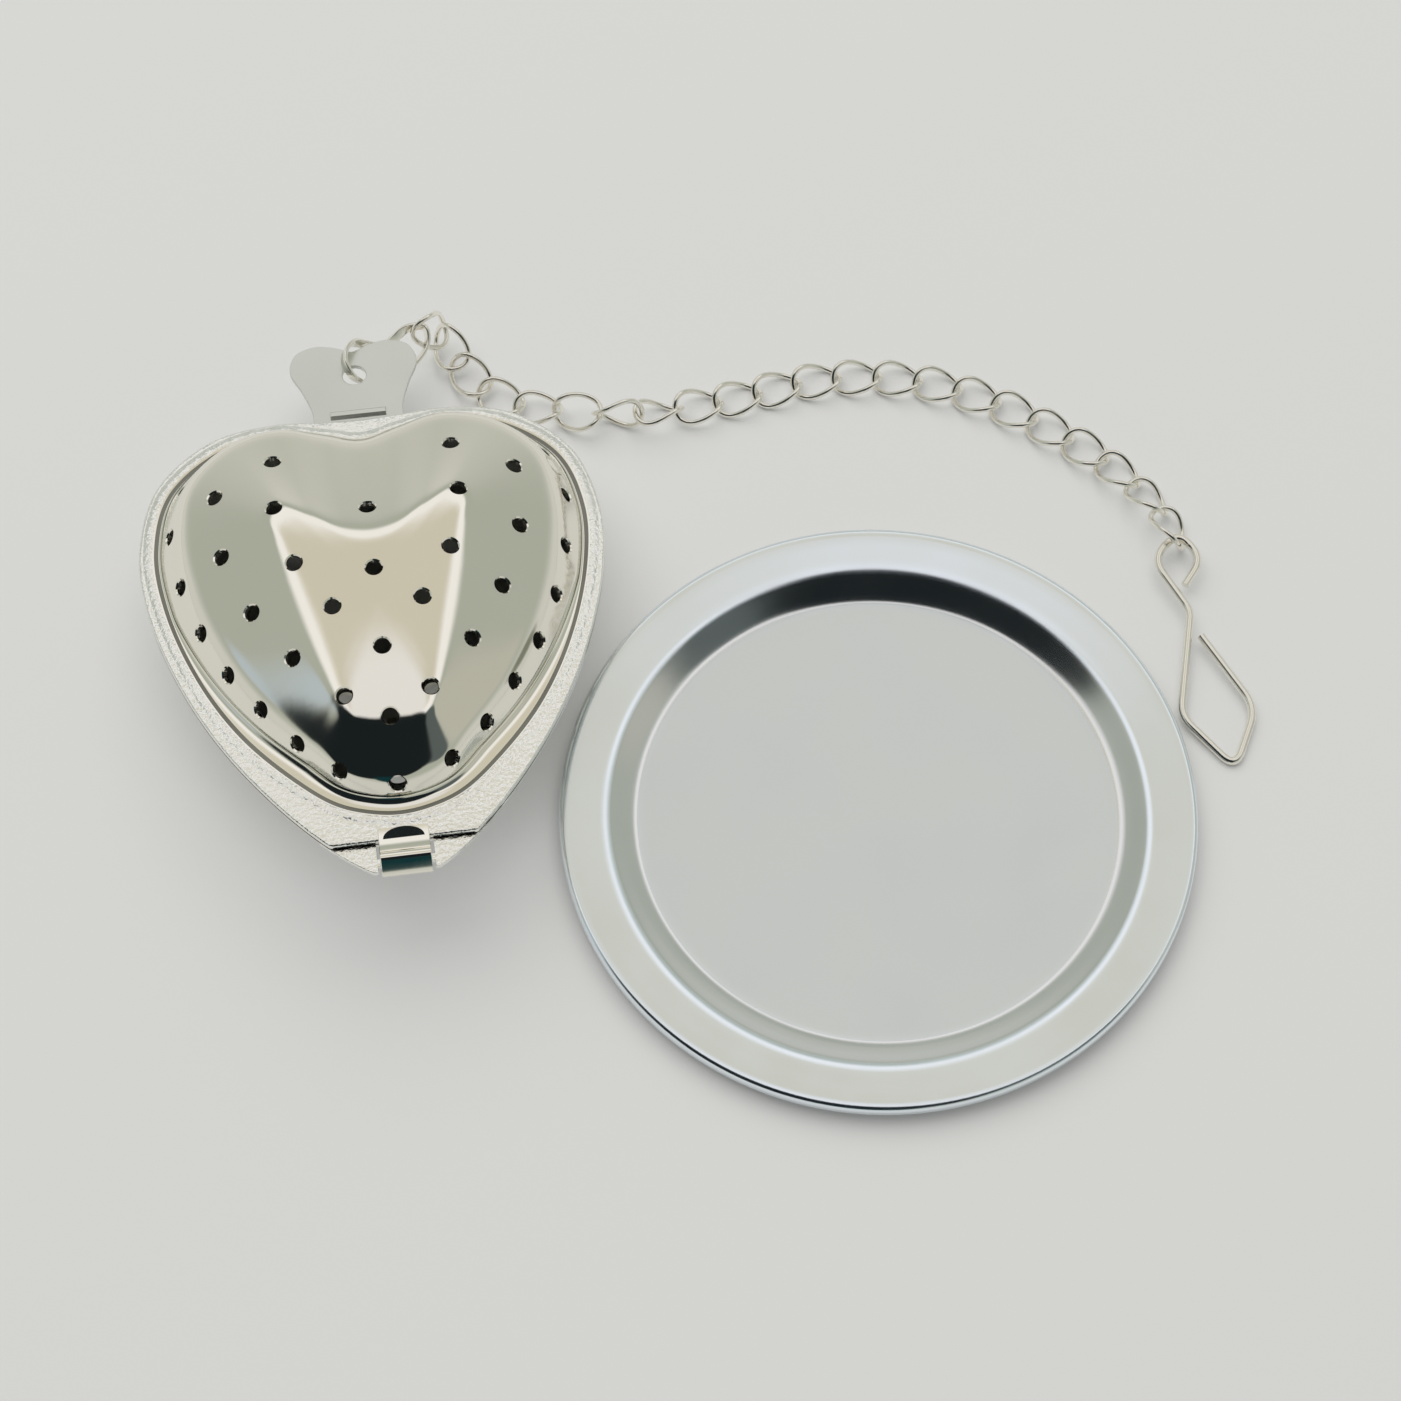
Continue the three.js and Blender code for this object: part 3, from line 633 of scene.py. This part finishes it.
def shell_finish(face, total):
    """Which of a shell's steels a face has; total is the number of vertices of one skin."""
    crease_to = (TOP_RINGS + SLOPE_RINGS + WALL_RINGS + SWEEP_RINGS + 1) * HEART_STEPS
    low, high = min(face), max(face)
    if crease_to <= low and high < total - 1:
        return SHELL_METALS.index("rim_steel")
    # the crease at the dome's foot is painted dark, as painted shade
    if crease_to - 2 * HEART_STEPS <= low and high < crease_to:
        return SHELL_METALS.index("crease_painted_shade_steel")
    if total <= low and high < 2 * total:
        return SHELL_METALS.index("inner_steel")
    return SHELL_METALS.index("polished_steel")


def make_shell(name, body, node_name, side, underside):
    """One domed half with round tea holes; side is 1 for the lid and -1 for the lower shell."""
    rings = shell_rings()
    normals = unit(np.cross(np.gradient(rings, axis=0), np.roll(rings, -1, 1) - np.roll(rings, 1, 1)))
    outer = np.vstack([rings.reshape(-1, 3), rings[0].mean(0)]) + [0, 0, underside + SHEET]
    normals = np.vstack([normals.reshape(-1, 3), unit(normals[0].mean(0))])
    total = len(outer)
    pole = total - 1
    edge = pole - HEART_STEPS
    inner = outer - normals * SHEET
    inner[edge:pole] = outer[edge:pole]
    inner[edge:pole, 2] = underside
    vertices = [outer, inner]
    vertex_normals = [normals, -normals]
    quads = np.array(grid_faces(len(rings), HEART_STEPS))
    alive = np.ones(len(quads), bool)
    used = 2 * total
    patches = []
    walls = []
    wall_normals = []
    places = [[0, along] for along in HOLES_ON_AXIS]
    places += [[hand * across, along] for across, along in HOLE_PAIRS for hand in (1, -1)]
    for place in places:
        hit, border, triangles, rows, row_normals, wall = tea_hole(place, outer, normals, quads)
        alive &= ~hit
        numbers = np.arange(used, used + len(rows) * HOLE_STEPS)
        patches += np.concatenate([border, numbers[:HOLE_STEPS]])[triangles].tolist()
        patches += np.concatenate([border + total, numbers[-HOLE_STEPS:]])[triangles][:, ::-1].tolist()
        walls += [[used + v for v in face] for face in grid_faces(len(rows), HOLE_STEPS)]
        wall_normals += wall
        vertices += rows
        vertex_normals += row_normals
        used += len(numbers)
    kept = quads[alive].tolist()
    skins = [face[::-1] for face in kept] + [[v + total for v in face] for face in kept]
    rim = []
    for k in range(HEART_STEPS):
        after = (k + 1) % HEART_STEPS
        skins.append([pole, k, after])
        skins.append([total + pole, total + after, total + k])
        rim.append([edge + k, total + edge + k, total + edge + after, edge + after])
    faces = [*skins, *patches, *walls, *rim]
    wall_normals = np.concatenate(wall_normals)
    if side < 0:
        faces = [face[::-1] for face in faces]
        wall_normals = wall_normals[:, ::-1]
    flip = np.array([1, 1, side])
    finish = [shell_finish(face, total) for face in faces]
    shell = at_infuser(np.vstack(vertices) * flip)
    mesh = piece(name, shell, faces, body, SHELL_METALS, node_name, finish).data
    owner = np.repeat(np.arange(len(faces)), [len(face) for face in faces])
    corner_vertices = np.concatenate(faces)
    corners = (np.vstack(vertex_normals) * flip)[corner_vertices] @ infuser_turn.T
    walls_from = len(skins) + len(patches)
    rim_from = walls_from + len(walls)
    on_wall = (walls_from <= owner) & (owner < rim_from)
    corners[on_wall] = (wall_normals.reshape(-1, 3) * flip) @ infuser_turn.T
    on_rim = owner >= rim_from
    corners[on_rim] = np.array([polygon.normal for polygon in mesh.polygons])[owner[on_rim]]
    mesh.normals_split_custom_set(unit(corners).tolist())


def extruded(name, outlines, low, high, body, metal):
    """A flat plate with rounded edges: outlines [across, along], the first outside, the others cut out."""
    shape = bpy.data.curves.new(name, "CURVE")
    shape.dimensions = "2D"
    shape.fill_mode = "BOTH"
    for outline in outlines:
        spline = shape.splines.new("POLY")
        spline.points.add(len(outline) - 1)
        for target, (across, along) in zip(spline.points, outline):
            target.co = (across, along, 0, 1)
        spline.use_cyclic_u = True
    shape.extrude = (high - low) / 2 - EDGE_BEVEL
    shape.bevel_depth = EDGE_BEVEL
    shape.bevel_resolution = BEVEL_STEPS
    shape.offset = -EDGE_BEVEL
    holder = bpy.data.objects.new(name + "_outline", shape)
    bpy.context.scene.collection.objects.link(holder)
    flat = bpy.data.meshes.new_from_object(holder.evaluated_get(bpy.context.evaluated_depsgraph_get()))
    vertices = np.array([v.co for v in flat.vertices]) + [0, 0, (low + high) / 2]
    faces = [list(p.vertices) for p in flat.polygons]
    bpy.data.objects.remove(holder)
    bpy.data.curves.remove(shape)
    bpy.data.meshes.remove(flat)
    piece(name, at_infuser(vertices), faces, body, [metal], sharp=PLATE_SHARP)


def across_prism(name, profile, half_width, body, metal, sharp):
    """A closed profile of [along, up] points carried across the heart's axis, its ends a little rounded."""
    profile = np.asarray(profile, float)
    tangent = unit(np.roll(profile, -1, 0) - np.roll(profile, 1, 0))
    inward = np.stack([-tangent[:, 1], tangent[:, 0]], 1)
    full = half_width - EDGE_BEVEL
    rows = []
    for across, shrink in ((-half_width, EDGE_BEVEL), (-full, 0), (full, 0), (half_width, EDGE_BEVEL)):
        rows.append(np.column_stack([np.full(len(profile), across), profile + inward * shrink]))
    faces = capped(len(rows), len(profile))
    piece(name, at_infuser(np.concatenate(rows)), faces, body, [metal], sharp=sharp)


def at_bar(reach, turn):
    """A point [along, up] at a distance from the middle of the hinge's bar."""
    turn = math.radians(turn)
    return [HINGE_ALONG + reach * math.cos(turn), HINGE_UP + reach * math.sin(turn)]


def curl_reach(turn):
    """Distance of the curl's outside from the bar's middle: round, with a flattened front."""
    facing = max(math.cos(math.radians(turn - CURL_FRONT)), 0) / CURL_FLAT
    return (CURL_RADIUS**-CURL_CORNER + facing**CURL_CORNER) ** (-1 / CURL_CORNER)


def make_tongue():
    outside = np.linspace(CURL_FROM, CURL_TO, CURL_STEPS + 1)
    inside = np.linspace(CURL_TO, CURL_FROM + CURL_LAP, CURL_STEPS + 1)
    tongue = [
        [TONGUE_ROOT, RIM_GAP],
        [TONGUE_ROOT, RIM_GAP + SHEET],
        [HINGE_ALONG + TONGUE_RISE, RIM_GAP + SHEET],
        *(at_bar(curl_reach(turn), turn) for turn in outside),
        *(at_bar(CURL_FLAT - SHEET, turn) for turn in inside),
        [HINGE_ALONG + CURL_RADIUS, RIM_GAP],
    ]
    half = TONGUE_WIDTH / 2
    across_prism("hinge_tongue", tongue, half, "lid", "polished_steel", PLATE_SHARP)
    turn = np.linspace(0, math.pi, BOSS_STEPS)
    arc = np.column_stack([BOSS_WIDTH / 2 * np.cos(turn), BOSS_LENGTH * np.sin(turn)])
    brow = np.column_stack([arc, BOSS_RISE * np.sin(turn)])
    boss = at_infuser(np.vstack([brow, at_height(arc, 0)]) + [0, BOSS_ALONG, RIM_GAP + SHEET])
    faces = grid_faces(2, BOSS_STEPS, close_columns=False)
    faces.append(list(range(BOSS_STEPS)))
    piece("tongue_boss", boss, faces, "lid", ["polished_steel"], sharp=BOSS_SHARP)


def make_tab():
    rim = catmull(mirrored(RIM_HALF), TAB_STEPS)
    right = [p for p in rim if TAB_END < p[1] < LID_END + TAB_LAP and p[0] > 0]
    right = sorted(right, key=lambda p: -p[1])
    left = [[-p[0], p[1]] for p in right[::-1]]
    window = TONGUE_WIDTH / 2 + CUT_GAP
    front, back = HINGE_ALONG - BAR_WIDTH / 2, HINGE_ALONG + BAR_WIDTH / 2
    notch = [[window, TAB_END], [window, front], [-window, front], [-window, TAB_END]]
    cutout = [[-window, back], [window, back], [window, LID_END], [-window, LID_END]]
    outlines = [[*right, *notch, *left], cutout]
    extruded("hinge_tab", outlines, -SHEET, 0, "infuser", "rim_steel")


def make_crown():
    half_width, start = CROWN_HALF[0]
    root = start - CROWN_ROOT
    curve = catmull(mirrored([[0, root], [half_width, root], *CROWN_HALF]), CROWN_STEPS)
    outline = [p for p in curve.tolist() if p[1] >= start]
    hole = (circle(CROWN_HOLE_RADIUS, CROWN_HOLE_STEPS) + [0, CROWN_HOLE_ALONG]).tolist()
    half = CATCH_HALF_WIDTH
    slit_back = CATCH_BACK + SLIT
    slit = [[-half, CATCH_BACK], [half, CATCH_BACK], [half, slit_back], [-half, slit_back]]
    extruded("crown_plate", [outline, hole, slit], -SHEET, 0, "infuser", "sheet_steel")
    catch = [
        [CATCH_FRONT + CATCH_SLOPE, CATCH_RISE],
        [CATCH_BACK, CATCH_RISE],
        [CATCH_BACK, -SHEET / 2],
        [CATCH_FRONT, -SHEET / 2],
    ]
    across_prism("crown_catch", catch, half, "infuser", "sheet_steel", CATCH_SHARP)


def make_ring():
    corner = [STRIP_THICKNESS / 2 - STRIP_ROUND, STRIP_WIDTH / 2 - STRIP_ROUND]
    section = []
    for start, sign_out, sign_side in ((-90, 1, -1), (0, 1, 1), (90, -1, 1), (180, -1, -1)):
        for turn in STRIP_TURNS:
            angle = math.radians(start + turn)
            out = sign_out * corner[0] + STRIP_ROUND * math.cos(angle)
            section.append([out, sign_side * corner[1] + STRIP_ROUND * math.sin(angle)])
    vertices, faces = swept(at_infuser(catmull(RING_PATH, RING_STEPS)), section, True)
    piece("strip_ring", vertices, faces, "ring", ["wire_steel"], "chain_ring")


def make_links():
    starts = [joint_at[f"link_{number:02d}_swing"] for number in range(1, LINK_COUNT + 1)]
    ends = [*starts[1:], joint_at["hook_swing"]]
    turn = np.arange(LINK_STEPS) * 2 * math.pi / LINK_STEPS
    oval = np.column_stack(
        [
            (LINK_LENGTH - LINK_WIRE) / 2 * np.cos(turn),
            (LINK_WIDTH - LINK_WIRE) / 2 * np.sin(turn),
            -LINK_TWIST * np.sin(2 * turn),
        ]
    )
    for number, (start, end) in enumerate(zip(starts, ends), 1):
        along = unit(end - start)
        level = unit(np.cross([0, 0, 1], along))
        up = np.cross(along, level)
        angle = math.radians(np.interp(number, *zip(*LINK_ROLLS)))
        width = level * math.cos(angle) + up * math.sin(angle)
        points = oval @ np.stack([along, width, np.cross(along, width)]) + (start + end) / 2
        vertices, faces = swept(points, circle(LINK_WIRE / 2, LINK_SIDES), True)
        name = f"link_{number:02d}"
        piece(f"curb_{name}", vertices, faces, name, ["wire_steel"], f"chain_{name}")


def make_hook():
    corners = np.array([[x, y, 0] for x, y, _ in HOOK_CORNERS], float)
    steps = np.linspace(0, 1, BEND_STEPS)
    path = [corners[0]]
    for k in range(1, len(corners) - 1):
        bend = HOOK_CORNERS[k][2]
        into = corners[k] + unit(corners[k - 1] - corners[k]) * bend
        out = corners[k] + unit(corners[k + 1] - corners[k]) * bend
        before = path[-1]
        path += [before + (into - before) * share for share in steps[1:-1]]
        for share in steps:
            path.append((1 - share) ** 2 * into + 2 * share * (1 - share) * corners[k] + share**2 * out)
    before = path[-1]
    path += [before + (corners[-1] - before) * share for share in steps[1:]]
    end = joint_at["hook_swing"]
    pull = unit(end - joint_at[f"link_{LINK_COUNT:02d}_swing"])
    eye = end + pull * ((LINK_GAP - HOOK_WIRE) / 2 - EYE_GAP)
    reach = max(-y for _, y, _ in HOOK_CORNERS)
    dip = np.array(Euler((math.asin((eye[2] - HOOK_WIRE / 2) / reach), 0, 0)).to_matrix())
    vertices, faces = swept(path, circle(HOOK_WIRE / 2, HOOK_SIDES), False)
    place = vertices @ dip.T + eye
    piece("wire_hook", place, faces, "hook", ["wire_steel"], "cup_hook", sharp=HOOK_SHARP)


def make_table():
    """A pale painted table that shows the camera and the steel its own colour, but keeps its shadows."""
    size = TABLE_SIZE * MM
    mesh = bpy.data.meshes.new("table_top")
    corners = [(-size, -size, 0), (size, -size, 0), (size, size, 0), (-size, size, 0)]
    mesh.from_pydata(corners, [], [(0, 1, 2, 3)])
    table = bpy.data.objects.new("table_top", mesh)
    bpy.context.scene.collection.objects.link(table)
    material = bpy.data.materials.new("table_paint")
    tree = nodes_of(material)
    place = node(tree, "ShaderNodeTexCoord").outputs["Object"]
    cloud = noise(tree, place, TABLE_CLOUD_SCALE, TABLE_CLOUD_DETAIL)
    clouded = [channel * TABLE_MOTTLE for channel in TABLE_COLOUR]
    tint = blended(tree, cloud, (*clouded, 1), (*TABLE_COLOUR, 1))
    painted = node(tree, "ShaderNodeBsdfDiffuse", {"Color": tint})
    glow = node(tree, "ShaderNodeEmission", {"Color": (*TABLE_GLOW, 1), "Strength": 1.0})
    path = node(tree, "ShaderNodeLightPath")
    seen = path.outputs["Is Camera Ray"]
    for ray in ("Is Glossy Ray", "Is Transmission Ray"):
        seen = calculated(tree, "MAXIMUM", seen, path.outputs[ray])
    reach = {"Distance": SHADE_REACH * MM}
    clear = node(tree, "ShaderNodeAmbientOcclusion", reach, samples=SHADE_SAMPLES).outputs["AO"]
    share = calculated(tree, "MULTIPLY", calculated(tree, "MULTIPLY", seen, GLOW_SHARE), clear)
    mixed = {0: share, 1: painted.outputs["BSDF"], 2: glow.outputs["Emission"]}
    shader = node(tree, "ShaderNodeMixShader", mixed)
    node(tree, "ShaderNodeOutputMaterial", {"Surface": shader.outputs["Shader"]})
    mesh.materials.append(material)


def make_world():
    """The room: one colour, with round soft-edged patches of other colours laid over it in turn."""
    world = bpy.data.worlds.new("studio")
    bpy.context.scene.world = world
    tree = nodes_of(world)
    direction = node(tree, "ShaderNodeTexCoord").outputs["Generated"]
    colour = (*ROOM_COLOUR, 1)
    for tint, azimuth, elevation, inner, outer in ROOM_PATCHES:
        a, e = math.radians(azimuth), math.radians(elevation)
        towards = (math.sin(a) * math.cos(e), math.cos(a) * math.cos(e), math.sin(e))
        angle = node(tree, "ShaderNodeVectorMath", {0: direction, 1: towards}, operation="DOT_PRODUCT")
        edges = {"From Min": math.cos(math.radians(outer)), "From Max": math.cos(math.radians(inner))}
        inputs = {"Value": angle.outputs["Value"], **edges}
        inside = node(tree, "ShaderNodeMapRange", inputs, interpolation_type="SMOOTHSTEP").outputs["Result"]
        colour = blended(tree, inside, colour, (*tint, 1))
    back = node(tree, "ShaderNodeBackground", {"Color": colour, "Strength": 1.0})
    node(tree, "ShaderNodeOutputWorld", {"Surface": back.outputs["Background"]})


def make_light():
    lamp = bpy.data.lights.new("soft_box", "AREA")
    lamp.shape = "RECTANGLE"
    lamp.size = LAMP_SIZE[0] * MM
    lamp.size_y = LAMP_SIZE[1] * MM
    lamp.energy = LAMP_POWER
    lamp.color = LAMP_COLOUR
    holder = bpy.data.objects.new("soft_box", lamp)
    holder.location = [v * MM for v in LAMP_PLACE]
    holder.rotation_mode = "QUATERNION"
    holder.rotation_quaternion = (-Vector(holder.location)).to_track_quat("-Z", "Y")
    holder.visible_glossy = False
    bpy.context.scene.collection.objects.link(holder)


def make_camera():
    data = bpy.data.cameras.new("camera")
    data.lens = CAMERA_LENS
    data.sensor_width = CAMERA_SENSOR
    data.clip_start = CAMERA_NEAR * MM
    camera = bpy.data.objects.new("camera", data)
    camera.location = [v * MM for v in CAMERA_PLACE]
    camera.rotation_euler = (math.radians(90 - CAMERA_PITCH), 0, 0)
    bpy.context.scene.collection.objects.link(camera)
    bpy.context.scene.camera = camera


make_tray()
make_shell("lid_pressing", "lid", "lid_shell", 1, RIM_GAP)
make_shell("lower_pressing", "infuser", "lower_shell", -1, 0)
make_tongue()
make_tab()
make_crown()
make_ring()
make_links()
make_hook()
make_table()
make_world()
make_light()
make_camera()
bpy.context.scene.view_settings.view_transform = "Standard"
